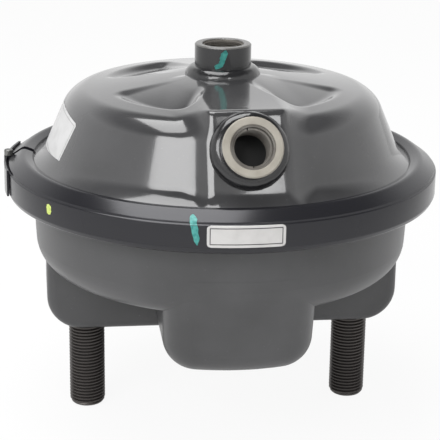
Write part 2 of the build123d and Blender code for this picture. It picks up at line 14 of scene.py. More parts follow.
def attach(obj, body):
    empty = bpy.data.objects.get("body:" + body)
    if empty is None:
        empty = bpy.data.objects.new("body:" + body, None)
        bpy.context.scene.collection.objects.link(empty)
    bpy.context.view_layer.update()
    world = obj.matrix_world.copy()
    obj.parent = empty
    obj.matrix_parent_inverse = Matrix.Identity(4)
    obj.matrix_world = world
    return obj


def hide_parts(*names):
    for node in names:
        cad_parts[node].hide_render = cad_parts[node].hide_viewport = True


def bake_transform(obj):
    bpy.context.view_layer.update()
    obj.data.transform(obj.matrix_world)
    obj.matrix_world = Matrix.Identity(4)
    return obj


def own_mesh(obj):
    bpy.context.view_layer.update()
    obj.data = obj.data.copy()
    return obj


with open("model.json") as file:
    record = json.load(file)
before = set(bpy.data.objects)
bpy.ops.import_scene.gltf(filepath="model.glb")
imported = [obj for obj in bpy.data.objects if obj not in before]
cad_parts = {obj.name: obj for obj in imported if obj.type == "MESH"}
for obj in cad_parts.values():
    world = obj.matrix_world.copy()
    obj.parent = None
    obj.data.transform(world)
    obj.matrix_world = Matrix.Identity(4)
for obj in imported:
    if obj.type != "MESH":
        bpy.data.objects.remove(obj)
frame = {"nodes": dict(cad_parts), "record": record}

# Looks of a diaphragm air brake chamber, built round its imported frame. Every length in the classes below
# is in millimetres unless its comment says otherwise, and is turned into metres where a mesh is made.

MM = 0.001
TURN = 2.0 * math.pi
MERGE_DISTANCE = 1e-6  # metres; nearer vertices are one
SLIVER_EDGE = 1e-7  # metres; shorter edges are dissolved
AXIS_RADIUS = 0.001  # keeps the end of a turned outline just off its axis
EDGE_SHARE = 0.49  # share of an outline's edge that the rounding of one corner may take
MOUNT_DEPTH = 8.0  # the record's port mounts lie this far below the ports' faces
WHITE = (1.0, 1.0, 1.0, 1.0)
LOG = logging.getLogger("air_brake_chamber")

Point = tuple[float, float]
Point3 = tuple[float, float, float]
Corner = tuple[float, float, float]  # a place on a flat line, and its rounding, direction or half width
Colour = tuple[float, float, float]
Face = tuple[int, ...]
Field = np.ndarray


class Body(Enum):
    """Rigid bodies of the frame that free pieces ride on."""

    CHAMBER = "chamber"
    PISTON = "piston"


# ---------------------------------------------------------------- node graphs


class Graph:
    """Small helper that wires shader nodes of one material."""

    def __init__(self, name: str) -> None:
        """Starts an empty material.

        Args:
            name: name of the material.
        """
        self.material = bpy.data.materials.new(name)
        self.material.use_nodes = True
        self.tree = self.material.node_tree
        self.tree.nodes.clear()

    def node(self, kind: str, **settings: object) -> bpy.types.Node:
        """Adds one node.

        Args:
            kind: Blender's node type name.
            settings: attributes to set on the node.

        Returns:
            The new node.
        """
        made = self.tree.nodes.new(kind)
        for key, value in settings.items():
            setattr(made, key, value)
        return made

    def put(self, socket: bpy.types.NodeSocket, value: object) -> None:
        """Feeds a socket from another socket or sets its constant.

        Args:
            socket: the input socket.
            value: an output socket, a number or a colour.
        """
        if isinstance(value, bpy.types.NodeSocket):
            self.tree.links.new(value, socket)
        elif isinstance(value, (tuple, list)) and len(value) == 3 and socket.type == "RGBA":
            socket.default_value = (*value, 1.0)
        else:
            socket.default_value = value

    def place(self, coordinates: str = "Object") -> bpy.types.NodeSocket:
        """Gives the texture coordinates of the wanted kind, such as Object or UV."""
        return self.node("ShaderNodeTexCoord").outputs[coordinates]

    def axes(self, coordinates: str = "Object") -> tuple[bpy.types.NodeSocket, ...]:
        """Splits texture coordinates into X, Y and Z.

        Args:
            coordinates: name of the coordinates output.

        Returns:
            The three components.
        """
        split = self.node("ShaderNodeSeparateXYZ")
        self.put(split.inputs[0], self.place(coordinates))
        return tuple(split.outputs)

    def noise(self, scale: float, detail: float) -> bpy.types.NodeSocket:
        """Adds fractal noise.

        Args:
            scale: noise scale per metre of object.
            detail: number of octaves.

        Returns:
            Noise between 0 and 1.
        """
        made = self.node("ShaderNodeTexNoise")
        self.put(made.inputs["Vector"], self.place())
        made.inputs["Scale"].default_value = scale
        made.inputs["Detail"].default_value = detail
        return made.outputs["Fac"]

    def maths(self, operation: str, first: object, second: object = 0.0) -> bpy.types.NodeSocket:
        """Adds one math node.

        Args:
            operation: Blender's operation name.
            first: first input.
            second: second input.

        Returns:
            The result.
        """
        made = self.node("ShaderNodeMath", operation=operation)
        self.put(made.inputs[0], first)
        self.put(made.inputs[1], second)
        return made.outputs[0]

    def spread(
        self, value: object, low: float, high: float, to_low: float = 0.0, to_high: float = 1.0
    ) -> bpy.types.NodeSocket:
        """Maps a value from one range to another, clamped.

        Args:
            value: the value to map.
            low: value that gives to_low.
            high: value that gives to_high.
            to_low: result at low.
            to_high: result at high.

        Returns:
            The mapped value.
        """
        made = self.node("ShaderNodeMapRange")
        self.put(made.inputs["Value"], value)
        for key, number in (("From Min", low), ("From Max", high), ("To Min", to_low), ("To Max", to_high)):
            made.inputs[key].default_value = number
        return made.outputs["Result"]

    def mix(self, share: object, first: object, second: object) -> bpy.types.NodeSocket:
        """Mixes two colours.

        Args:
            share: how much of the second colour shows.
            first: colour at share 0.
            second: colour at share 1.

        Returns:
            The mixed colour.
        """
        made = self.node("ShaderNodeMix", data_type="RGBA")
        self.put(made.inputs["Factor"], share)
        self.put(made.inputs[6], first)
        self.put(made.inputs[7], second)
        return made.outputs[2]

    def bump(
        self, height: object, distance: float, strength: float, normal: Optional[bpy.types.NodeSocket] = None
    ) -> bpy.types.NodeSocket:
        """Turns a height into a bumped normal.

        Args:
            height: height between 0 and 1.
            distance: real depth of the relief in metres.
            strength: strength of the effect.
            normal: normal of an earlier bump, if any.

        Returns:
            The normal.
        """
        made = self.node("ShaderNodeBump")
        self.put(made.inputs["Height"], height)
        made.inputs["Distance"].default_value = distance
        made.inputs["Strength"].default_value = strength
        if normal is not None:
            self.put(made.inputs["Normal"], normal)
        return made.outputs["Normal"]

    def surface(self, **inputs: object) -> bpy.types.Material:
        """Ends the graph in one principled surface.

        Args:
            inputs: principled inputs by name, with underscores for spaces.

        Returns:
            The finished material.
        """
        shader = self.node("ShaderNodeBsdfPrincipled")
        for key, value in inputs.items():
            self.put(shader.inputs[key.replace("_", " ")], value)
        end = self.node("ShaderNodeOutputMaterial")
        self.tree.links.new(shader.outputs[0], end.inputs["Surface"])
        return self.material


# ---------------------------------------------------------------- finishes


@dataclass(frozen=True)
class Finish:
    """A surface finish tied to a material slot of the part."""

    name: str
    slot: str

    def material(self) -> bpy.types.Material:
        """Gives the finish's material, built once."""
        return bpy.data.materials.get(self.name) or self.build()

    def build(self) -> bpy.types.Material:
        """Wires the material's nodes."""
        raise NotImplementedError

    def dress(self, *nodes: str) -> None:
        """Gives carried-over frame nodes this finish.

        Args:
            nodes: names of the nodes.
        """
        for name in nodes:
            node = frame["nodes"][name]
            node.data.materials.clear()
            node.data.materials.append(self.material())


@dataclass(frozen=True)
class Paint(Finish):
    """Dip or powder paint on pressed steel, with orange peel and slight wear."""

    colour: Colour = (0.05, 0.05, 0.055)
    roughness: float = 0.25
    roughness_swing: float = 0.08
    peel_depth: float = 0.00002  # metres
    peel_scale: float = 700.0
    coat: float = 0.3
    wave_depth: float = 0.0002  # metres
    wave_scale: float = 38.0
    cloud_scale: float = 26.0
    speck_scale: float = 900.0
    shade: float = 0.18
    dust_gain: float = 2.2
    dust_floor: float = 0.02
    dust_share: float = 0.35

    def build(self) -> bpy.types.Material:
        """Wires the paint.

        Returns:
            The material.
        """
        graph = Graph(self.name)
        cloud = graph.noise(self.cloud_scale, 5.0)
        speck = graph.noise(self.speck_scale, 2.0)
        darker = tuple(channel * (1.0 - self.shade) for channel in self.colour)
        lighter = tuple(channel * (1.0 + self.shade) for channel in self.colour)
        tone = graph.mix(graph.spread(cloud, 0.35, 0.65), darker, lighter)
        dusty = tuple(min(1.0, channel * self.dust_gain + self.dust_floor) for channel in self.colour)
        tone = graph.mix(graph.spread(speck, 0.70, 0.78, 0.0, self.dust_share), tone, dusty)
        smooth, dull = self.roughness - self.roughness_swing, self.roughness + self.roughness_swing
        rough = graph.spread(cloud, 0.3, 0.7, smooth, dull)
        waves = graph.bump(graph.noise(self.wave_scale, 1.0), self.wave_depth, 0.5)
        peel = graph.bump(graph.noise(self.peel_scale, 2.0), self.peel_depth, 0.6, waves)
        return graph.surface(
            Base_Color=tone, Roughness=rough, Normal=peel, Coat_Weight=self.coat, Coat_Roughness=0.06
        )


@dataclass(frozen=True)
class Steel(Finish):
    """Bare, plated or phosphated steel."""

    colour: Colour = (0.55, 0.54, 0.52)
    stain: Colour = (0.30, 0.28, 0.25)
    metal: float = 1.0
    roughness: float = 0.35
    grain_scale: float = 240.0
    grain_depth: float = 0.00002  # metres
    blotch_scale: float = 60.0

    def build(self) -> bpy.types.Material:
        """Wires the steel.

        Returns:
            The material.
        """
        graph = Graph(self.name)
        blotch = graph.noise(self.blotch_scale, 6.0)
        grain = graph.noise(self.grain_scale, 5.0)
        tone = graph.mix(graph.spread(blotch, 0.42, 0.68), self.colour, self.stain)
        rough = graph.spread(grain, 0.3, 0.7, self.roughness - 0.1, self.roughness + 0.12)
        relief = graph.bump(grain, self.grain_depth, 0.7)
        return graph.surface(Base_Color=tone, Metallic=self.metal, Roughness=rough, Normal=relief)


@dataclass(frozen=True)
class Turned(Finish):
    """Turned steel whose fine tool marks run round the piece's own Z axis."""

    colour: Colour = (0.50, 0.47, 0.42)
    stain: Colour = (0.33, 0.30, 0.26)
    metal: float = 0.85
    roughness: float = 0.38
    mark_scale: float = 5200.0
    mark_depth: float = 0.000012  # metres
    blotch_scale: float = 95.0

    def build(self) -> bpy.types.Material:
        """Wires the turned steel.

        Returns:
            The material.
        """
        graph = Graph(self.name)
        x, y, z = graph.axes()
        square = graph.maths("ADD", graph.maths("MULTIPLY", x, x), graph.maths("MULTIPLY", y, y))
        way = graph.maths("ADD", graph.maths("SQRT", square), z)
        marks = graph.maths("SINE", graph.maths("MULTIPLY", way, self.mark_scale * math.pi))
        marks = graph.spread(marks, -1.0, 1.0)
        blotch = graph.noise(self.blotch_scale, 6.0)
        tone = graph.mix(graph.spread(blotch, 0.40, 0.70), self.colour, self.stain)
        rough = graph.spread(blotch, 0.3, 0.7, self.roughness - 0.08, self.roughness + 0.12)
        relief = graph.bump(marks, self.mark_depth, 0.5)
        return graph.surface(Base_Color=tone, Metallic=self.metal, Roughness=rough, Normal=relief)


@dataclass(frozen=True)
class Rubber(Finish):
    """Moulded black rubber with a faint bloom."""

    colour: Colour = (0.022, 0.022, 0.022)
    bloom: Colour = (0.06, 0.06, 0.058)
    roughness: float = 0.55
    cloud_scale: float = 45.0
    grain_scale: float = 1100.0
    grain_depth: float = 0.00002  # metres

    def build(self) -> bpy.types.Material:
        """Wires the rubber.

        Returns:
            The material.
        """
        graph = Graph(self.name)
        cloud = graph.noise(self.cloud_scale, 5.0)
        tone = graph.mix(graph.spread(cloud, 0.45, 0.75), self.colour, self.bloom)
        relief = graph.bump(graph.noise(self.grain_scale, 3.0), self.grain_depth, 0.5)
        rough = graph.spread(cloud, 0.3, 0.7, self.roughness - 0.08, self.roughness + 0.1)
        return graph.surface(Base_Color=tone, Roughness=rough, Normal=relief)


@dataclass(frozen=True)
class Daub(Finish):
    """Inspector's paint dabbed on with a marker."""

    colour: Colour = (0.02, 0.22, 0.20)
    pale: Colour = (0.10, 0.42, 0.38)
    streak_scale: float = 700.0
    streak_depth: float = 0.00003  # metres

    def build(self) -> bpy.types.Material:
        """Wires the paint dab.

        Returns:
            The material.
        """
        graph = Graph(self.name)
        streak = graph.noise(self.streak_scale, 4.0)
        tone = graph.mix(graph.spread(streak, 0.35, 0.7), self.colour, self.pale)
        relief = graph.bump(streak, self.streak_depth, 0.6)
        return graph.surface(Base_Color=tone, Roughness=0.42, Normal=relief)


@dataclass(frozen=True)
class Tag(Finish):
    """Blank tag: a plain field inside a thin frame line, laid out over its UV map in shares of its width."""

    field: Colour = (0.52, 0.52, 0.52)
    line: Colour = (0.03, 0.03, 0.032)
    line_inset: float = 0.035
    line_width: float = 0.012
    aspect: float = 3.4
    metal: float = 0.0
    grime_scale: float = 160.0
    wear: float = 0.8

    def build(self) -> bpy.types.Material:
        """Wires the tag.

        Returns:
            The material.
        """
        graph = Graph(self.name)
        edges = []
        for share in graph.axes("UV")[:2]:
            off_middle = graph.maths("ABSOLUTE", graph.maths("SUBTRACT", share, 0.5))
            edges.append(graph.maths("SUBTRACT", 0.5, off_middle))
        depth = graph.maths("MINIMUM", edges[0], graph.maths("DIVIDE", edges[1], self.aspect))
        inner = graph.maths("LESS_THAN", depth, self.line_inset + self.line_width)
        framed = graph.maths("MULTIPLY", inner, graph.maths("GREATER_THAN", depth, self.line_inset))
        grime = graph.noise(self.grime_scale, 5.0)
        worn = tuple(channel * self.wear for channel in self.field)
        field = graph.mix(graph.spread(grime, 0.4, 0.75, 0.0, 0.6), self.field, worn)
        rough = graph.spread(grime, 0.3, 0.7, 0.35, 0.55)
        tone = graph.mix(framed, field, self.line)
        return graph.surface(Base_Color=tone, Metallic=self.metal, Roughness=rough, Coat_Weight=0.1)


COVER_PAINT = Paint("cover_paint", "housing_paint_upper", (0.045, 0.045, 0.047), 0.15, 0.05, coat=0.6)
BOWL_PAINT = Paint("bowl_paint", "housing_paint_lower", (0.058, 0.058, 0.060), 0.38, 0.06, coat=0.1)
RING_PAINT = Paint("ring_paint", "ring_paint", (0.012, 0.012, 0.0125), 0.17, 0.05, coat=0.2)
BOSS_PAINT = Paint("boss_paint", "port_steel", (0.013, 0.013, 0.014), 0.16, 0.06, coat=0.4, wave_depth=0.0004)
RIM_PAINT = Paint("boss_rim_paint", "port_steel", (0.09, 0.088, 0.084), 0.30, 0.08, coat=0.2)
FACE_STEEL = Turned("port_face_steel", "port_steel", (0.36, 0.335, 0.29), (0.28, 0.26, 0.22), 0.15, 0.60)
# The bore's steel is given a much darker colour than the face's steel: painted shade inside the threaded
# hole.
SHADED_BORE_STEEL = Turned("port_bore_painted_shade", "port_steel", (0.16, 0.15, 0.135), (0.09, 0.08, 0.07), 0.5, 0.45)
STUD_STEEL = Steel(
    "phosphated_steel", "phosphated_steel", (0.080, 0.076, 0.072), (0.045, 0.043, 0.041), 0.75, 0.45
)
ZINC = Steel("zinc_plate", "zinc_steel", (0.62, 0.61, 0.57), (0.48, 0.46, 0.40), 1.0, 0.32)
LOCK_STEEL = Steel("lock_steel", "zinc_steel", (0.22, 0.22, 0.21), (0.12, 0.12, 0.12), 0.8, 0.35)
SPRING_STEEL = Steel("spring_steel", "spring_steel", (0.13, 0.13, 0.135), (0.07, 0.07, 0.07), 0.9, 0.4)
ROD_STEEL = Steel("rod_steel", "rod_steel", (0.55, 0.52, 0.45), (0.42, 0.38, 0.28), 1.0, 0.3)
DIAPHRAGM_RUBBER = Rubber("diaphragm_rubber", "diaphragm_rubber")
BOOT_RUBBER = Rubber("boot_rubber", "boot_rubber", (0.02, 0.02, 0.021), (0.05, 0.05, 0.05), 0.45)
PLUG_PLASTIC = Rubber("plug_plastic", "plug_plastic", (0.025, 0.025, 0.027), (0.05, 0.05, 0.052), 0.5)
MARKER = Daub("teal_marker", "ring_paint")
BOSS_MARKER = Daub("teal_marker_on_boss", "port_steel", (0.015, 0.17, 0.155), (0.06, 0.32, 0.28))
MARKER_DOT = Daub("yellow_marker", "ring_paint", (0.50, 0.62, 0.10), (0.66, 0.76, 0.24))
STICKER = Tag("blank_sticker", "housing_paint_upper", (0.58, 0.58, 0.58), (0.34, 0.34, 0.34), aspect=1.6)
RING_TAG = Tag("blank_ring_tag", "ring_paint", (0.60, 0.59, 0.58), metal=0.2)


# ---------------------------------------------------------------- mesh making


@dataclass
class Shape:
    """Vertices in millimetres and the faces between them."""

    vertices: list[Vector]
    faces: list[Face]
    uv: Optional[list[Point]] = None

    def join(self, other: "Shape") -> "Shape":
        """Adds another shape to this one.

        Args:
            other: the shape to add.

        Returns:
            This shape.
        """
        start = len(self.vertices)
        self.vertices += other.vertices
        self.faces += [tuple(index + start for index in face) for face in other.faces]
        return self

    def moved(self, change: Callable[[Vector], Vector]) -> "Shape":
        """Moves every vertex to the place that change gives for it, and gives this shape."""
        self.vertices = [change(vertex) for vertex in self.vertices]
        return self

    def mesh(self, name: str) -> bpy.types.Mesh:
        """Makes the cleaned mesh in metres.

        Args:
            name: name of the mesh.

        Returns:
            The mesh.
        """
        mesh = bpy.data.meshes.new(name)
        mesh.from_pydata([vertex * MM for vertex in self.vertices], [], self.faces)
        if self.uv:
            layer = mesh.uv_layers.new(name="layout")
            for loop in mesh.loops:
                layer.data[loop.index].uv = self.uv[loop.vertex_index]
        tidy = bmesh.new()
        tidy.from_mesh(mesh)
        bmesh.ops.remove_doubles(tidy, verts=tidy.verts, dist=MERGE_DISTANCE)
        bmesh.ops.dissolve_degenerate(tidy, edges=tidy.edges, dist=SLIVER_EDGE)
        bmesh.ops.recalc_face_normals(tidy, faces=tidy.faces)
        tidy.to_mesh(mesh)
        tidy.free()
        return mesh

    def make(
        self,
        name: str,
        finish: Finish,
        body: Body,
        replaces: Iterable[str] = (),
        sharp: float = 35.0,
        place: Optional[Matrix] = None,
        cutter: Optional["Shape"] = None,
    ) -> bpy.types.Object:
        """Makes the Blender object.

        Args:
            name: name of the object.
            finish: its finish.
            body: the body it rides on.
            replaces: frame nodes it stands for.
            sharp: angle in degrees above which an edge is shaded sharp.
            place: transform of the object in metres.
            cutter: closed shape to cut out of it.

        Returns:
            The object.
        """
        mesh = self.mesh(name)
        if cutter is not None:
            mesh = cut_out(mesh, cutter.mesh(f"{name}_cutter"))
        mesh.polygons.foreach_set("use_smooth", [True] * len(mesh.polygons))
        mesh.set_sharp_from_angle(angle=math.radians(sharp))
        mesh.materials.append(finish.material())
        made = bpy.data.objects.new(name, mesh)
        bpy.context.scene.collection.objects.link(made)
        if place is not None:
            made.matrix_world = place
        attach(made, body.value)
        if replaces:
            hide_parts(*replaces)
        return made


def cut_out(mesh: bpy.types.Mesh, tool: bpy.types.Mesh) -> bpy.types.Mesh:
    """Cuts one closed mesh out of another.

    Args:
        mesh: the mesh to cut.
        tool: the mesh to take away.

    Returns:
        The cut mesh.
    """
    body, cutter = (bpy.data.objects.new(m.name, m) for m in (mesh, tool))
    for item in (body, cutter):
        bpy.context.scene.collection.objects.link(item)
    change = body.modifiers.new("cut", "BOOLEAN")
    change.object = cutter
    change.operation = "DIFFERENCE"
    change.solver = "EXACT"
    bpy.context.view_layer.update()
    found = body.evaluated_get(bpy.context.evaluated_depsgraph_get())
    result = bpy.data.meshes.new_from_object(found)
    for item in (body, cutter):
        bpy.data.objects.remove(item)
    return result


def round_max(first: Field, second: Field, radius: float) -> Field:
    """Gives the distance outside what two forms share, with an outer edge rounded by the radius."""
    over = np.hypot(np.maximum(first + radius, 0.0), np.maximum(second + radius, 0.0))
    return np.minimum(-radius, np.maximum(first, second)) + over


def round_min(first: Field, second: Field, radius: float) -> Field:
    """Gives the distance outside two joined forms, with an inner edge rounded by the radius."""
    return -round_max(-first, -second, radius)


def between(here: Corner, there: Corner, count: int) -> list[Corner]:
    """Lists that many even steps from one row towards another, without the last."""
    return [tuple(a + (b - a) * n / count for a, b in zip(here, there)) for n in range(count)]


def rounded(corners: Sequence[Corner], closed: bool, steps: int = 5) -> list[Point]:
    """Rounds the corners of a flat outline.

    Args:
        corners: (x, y, corner radius) of each corner.
        closed: whether the last corner joins the first.
        steps: points per rounded corner, less one.

    Returns:
        The outline's points.
    """
    count = len(corners)
    points: list[Point] = []
    for index, (x, y, radius) in enumerate(corners):
        here = Vector((x, y))
        if radius <= 0.0 or (not closed and index in (0, count - 1)):
            points.append((x, y))
            continue
        before = Vector(corners[index - 1][:2]) - here
        after = Vector(corners[(index + 1) % count][:2]) - here
        half = before.angle(after) / 2.0
        reach = min(radius / math.tan(half), before.length * EDGE_SHARE, after.length * EDGE_SHARE)
        radius = reach * math.tan(half)
        middle = here + (before.normalized() + after.normalized()).normalized() * (radius / math.sin(half))
        first = here + before.normalized() * reach - middle
        last = here + after.normalized() * reach - middle
        sweep = first.angle_signed(last)
        for step in range(steps + 1):
            arm = first.copy()
            arm.rotate(Matrix.Rotation(-sweep * step / steps, 2))
            points.append((middle.x + arm.x, middle.y + arm.y))
    return points


def turned(radius: float, z: float, angle: float) -> Vector:
    """Gives a place from its radius, its height and its angle round the Z axis in radians."""
    return Vector((radius * math.cos(angle), radius * math.sin(angle), z))


def woven(rows: int, columns: int, ring_rows: bool, ring_columns: bool) -> list[Face]:
    """Lists the faces between the vertices of a grid that are kept row by row.

    Args:
        rows: number of rows.
        columns: vertices in a row.
        ring_rows: whether the last row joins the first.
        ring_columns: whether the last column joins the first.

    Returns:
        The faces.
    """
    faces = []
    for row in range(rows if ring_rows else rows - 1):
        here, there = row * columns, (row + 1) % rows * columns
        for column in range(columns if ring_columns else columns - 1):
            after = (column + 1) % columns
            faces.append((here + column, there + column, there + after, here + after))
    return faces


def revolved(
    outline: Sequence[Point], closed: bool, count: int, start: float = 0.0, sweep: float = 360.0
) -> Shape:
    """Turns an outline of (radius, z) points about the Z axis.

    Args:
        outline: the outline.
        closed: whether its last point joins the first.
        count: number of steps round the axis.
        start: azimuth of the first step in degrees.
        sweep: angle turned through in degrees.

    Returns:
        The turned shape, with flat ends where it doesn't go all the way round.
    """
    whole = sweep >= 360.0
    columns = count if whole else count + 1
    size = len(outline)
    angles = [math.radians(start + sweep * column / count) for column in range(columns)]
    vertices = [turned(radius, z, angle) for angle in angles for radius, z in outline]
    faces = woven(columns, size, whole, closed)
    if closed and not whole:
        faces.append(tuple(range(size)))
        faces.append(tuple(range(count * size, columns * size))[::-1])
    return Shape(vertices, faces)


# Each corner of one turn of thread: its share of the pitch, and whether it lies on the crest.
THREAD_PROFILE = ((0.0, True), (0.13, True), (0.46, False), (0.67, False))


def threaded(
    major: float,
    minor: float,
    pitch: float,
    low: float,
    high: float,
    envelope: Callable[[float], float],
    count: int,
) -> Shape:
    """Makes a helical thread surface round the Z axis.

    Args:
        major: crest radius of an outside thread.
        minor: root radius.
        pitch: pitch of the thread.
        low: lower end.
        high: upper end.
        envelope: largest radius allowed at a height.
        count: steps per turn.

    Returns:
        The open thread surface between low and high.
    """
    profile = [(share, major if crest else minor) for share, crest in THREAD_PROFILE]
    turns = int((high - low) / pitch) + 3
    rows = [(turn + share, radius) for turn in range(turns) for share, radius in profile]
    vertices = []
    for share, radius in rows:
        for column in range(count):
            z = low + (share - 1.0 + column / count) * pitch
            z = min(max(z, low), high)
            vertices.append(turned(min(radius, envelope(z)), z, TURN * column / count))
    faces = []
    step = len(profile)
    for row in range(len(rows) - 1):
        for column in range(count):
            across = (column + 1) % count
            shift = step if across == 0 else 0
            if row + 1 + shift >= len(rows):
                continue
            faces.append(
                (
                    row * count + column,
                    (row + shift) * count + across,
                    (row + 1 + shift) * count + across,
                    (row + 1) * count + column,
                )
            )
    return Shape(vertices, faces)


def disc(radius: float, z: float, count: int) -> Shape:
    """Makes a flat round face of that many corners at a height."""
    return Shape([turned(radius, z, TURN * n / count) for n in range(count)], [tuple(range(count))])


def patch(
    outline: Callable[[float, float], Point],
    surface: Callable[[float, float], Vector],
    across: int,
    up: int,
) -> Shape:
    """Makes a thin patch that lies on a curved surface.

    Args:
        outline: turns (u, v) shares into the surface's own two coordinates.
        surface: gives the place of a point from those coordinates.
        across: steps along u.
        up: steps along v.

    Returns:
        The patch, with a UV layout of its shares.
    """
    vertices, uv = [], []
    for row in range(up + 1):
        for column in range(across + 1):
            share = (column / across, row / up)
            uv.append(share)
            vertices.append(surface(*outline(*share)))
    faces = [(face[0], *face[:0:-1]) for face in woven(up + 1, across + 1, False, False)]
    return Shape(vertices, faces, uv)


# ---------------------------------------------------------------- sub-assemblies


@dataclass
class MountingStuds:
    """Two phosphated studs with a rolled thread, held in the stud plate."""

    pitch: float = 120.65
    thread_pitch: float = 1.5
    major: float = 8.0
    minor: float = 7.12
    tip_z: float = -41.6
    tip_radius: float = 5.6
    tip_rise: float = 3.2
    head_z: float = 9.1
    head_radius: float = 11.5
    head_height: float = 8.0
    head_edge: float = 1.0
    steps: int = 56

    def envelope(self, z: float) -> float:
        """Gives the largest radius the rolled tip leaves at a height."""
        rise = min(max((z - self.tip_z) / self.tip_rise, 0.0), 1.0)
        return self.tip_radius + (self.major - self.tip_radius) * math.sqrt(rise * (2.0 - rise))

    def build(self) -> None:
        """Builds both studs."""
        for side, x in (("left", -self.pitch / 2), ("right", self.pitch / 2)):
            ends = (self.tip_z, self.head_z)
            stud = threaded(self.major, self.minor, self.thread_pitch, *ends, self.envelope, self.steps)
            stud.join(disc(self.tip_radius, self.tip_z, self.steps))
            top = self.head_z + self.head_height
            head = [
                (self.major, self.head_z),
                (self.head_radius, self.head_z),
                (self.head_radius, top - self.head_edge),
                (self.head_radius - self.head_edge, top),
                (AXIS_RADIUS, top),
            ]
            stud.join(revolved(head, closed=False, count=self.steps))
            stud.make(
                f"threaded_stud_{side}",
                STUD_STEEL,
                Body.CHAMBER,
                [f"mounting_stud_{side}"],
                place=Matrix.Translation((x * MM, 0.0, 0.0)),
            )
        LOG.info("mounting studs built")


@dataclass
class PortBoss:
    """Threaded air port standing on its weld bead; its face is at the local z = 0."""

    name: str
    place: Matrix
    stand: float
    bead_radius: float
    face_finish: Finish
    root: float = 4.0
    bead_height: float = 4.5
    radius: float = 12.25
    bore_minor: float = 7.25
    bore_major: float = 8.0
    mouth_radius: float = 9.0
    mouth_depth: float = 2.2
    mouth_edge: float = 0.3
    mouth_taper: float = 0.1
    mouth_wall: float = 0.5
    mouth_step: float = 0.1
    thread_relief: float = 0.15
    edge: float = 0.5
    thread_pitch: float = 1.5
    ripple: float = 0.22
    ripple_start: float = 0.2
    ripple_scales: Point = (0.45, 1.1)
    steps: int = 120
    bead_steps: int = 12
    thread_steps: int = 60

    def bead(self) -> list[Point]:
        """Gives the bead's outline from its foot up to the boss's side.

        Returns:
            The (radius, z) points.
        """
        points = []
        reach = self.bead_radius - self.radius
        for step in range(self.bead_steps + 1):
            angle = TURN / 4 * step / self.bead_steps
            rise = self.bead_height * math.sin(angle)
            points.append((self.radius + reach * math.cos(angle), rise - self.stand))
        return points

    def body(self) -> Shape:
        """Builds the painted outside.

        Returns:
            The outside below the machined face.
        """
        outline = [(self.radius, -self.stand - self.root), (self.radius, -self.stand), *self.bead()]
        outline += [(self.radius, -self.edge * 2), (self.radius, -self.edge)]
        shape = revolved(outline, closed=False, count=self.steps)
        low, high = self.radius + self.ripple_start, self.bead_radius + 0.01

        def ripple(vertex: Vector) -> Vector:
            """Makes the weld bead uneven.

            Args:
                vertex: a place on the bead.

            Returns:
                Its uneven place, never outside the even bead.
            """
            radius = math.hypot(vertex.x, vertex.y)
            if not low < radius <= high:
                return vertex
            coarse, fine = (noise.noise(vertex * scale) for scale in self.ripple_scales)
            wobble = coarse * 0.5 + fine * 0.5
            pull = 1.0 - self.ripple * (0.5 + wobble) / radius
            return Vector((vertex.x * pull, vertex.y * pull, vertex.z))

        return shape.moved(ripple)

    def face(self) -> Shape:
        """Builds the flat face that the fitting's washer seals on.

        Returns:
            The face, from the outer edge to the mouth.
        """
        outline = rounded(
            [
                (self.radius, -self.edge, 0.0),
                (self.radius - self.edge, 0.0, 0.15),
                (self.mouth_radius + self.mouth_edge, 0.0, 0.1),
                (self.mouth_radius, -self.mouth_edge, 0.0),
            ],
            closed=False,
        )
        return revolved(outline, closed=False, count=self.steps)

    def bore(self) -> Shape:
        """Builds the mouth and the thread inside.

        Returns:
            The surfaces inside the mouth.
        """
        start, end = -self.stand - self.root, -self.mouth_depth
        step_z = -self.mouth_edge - self.mouth_wall
        outline = [
            (self.mouth_radius, -self.mouth_edge),
            (self.mouth_radius - self.mouth_taper, step_z),
            (self.bore_major + self.thread_relief, step_z - self.mouth_step),
            (self.bore_major, end),
        ]
        shape = revolved(outline, closed=False, count=self.steps)
        radii = (self.bore_major, self.bore_minor)
        shape.join(threaded(*radii, self.thread_pitch, start, end, lambda z: radii[0], self.thread_steps))
        inner_end = [(self.radius, start), (self.bore_minor, start)]
        return shape.join(revolved(inner_end, closed=False, count=self.thread_steps))

    def build(self) -> None:
        """Builds the boss."""
        node = f"{self.name}_boss"
        self.body().make(f"{self.name}_body", BOSS_PAINT, Body.CHAMBER, [node], place=self.place)
        self.face().make(f"{self.name}_face", self.face_finish, Body.CHAMBER, place=self.place)
        # The bore gets the darkened steel, which carries painted shade of the hole.
        self.bore().make(f"{self.name}_bore", SHADED_BORE_STEEL, Body.CHAMBER, place=self.place)
        LOG.info("%s built", self.name)


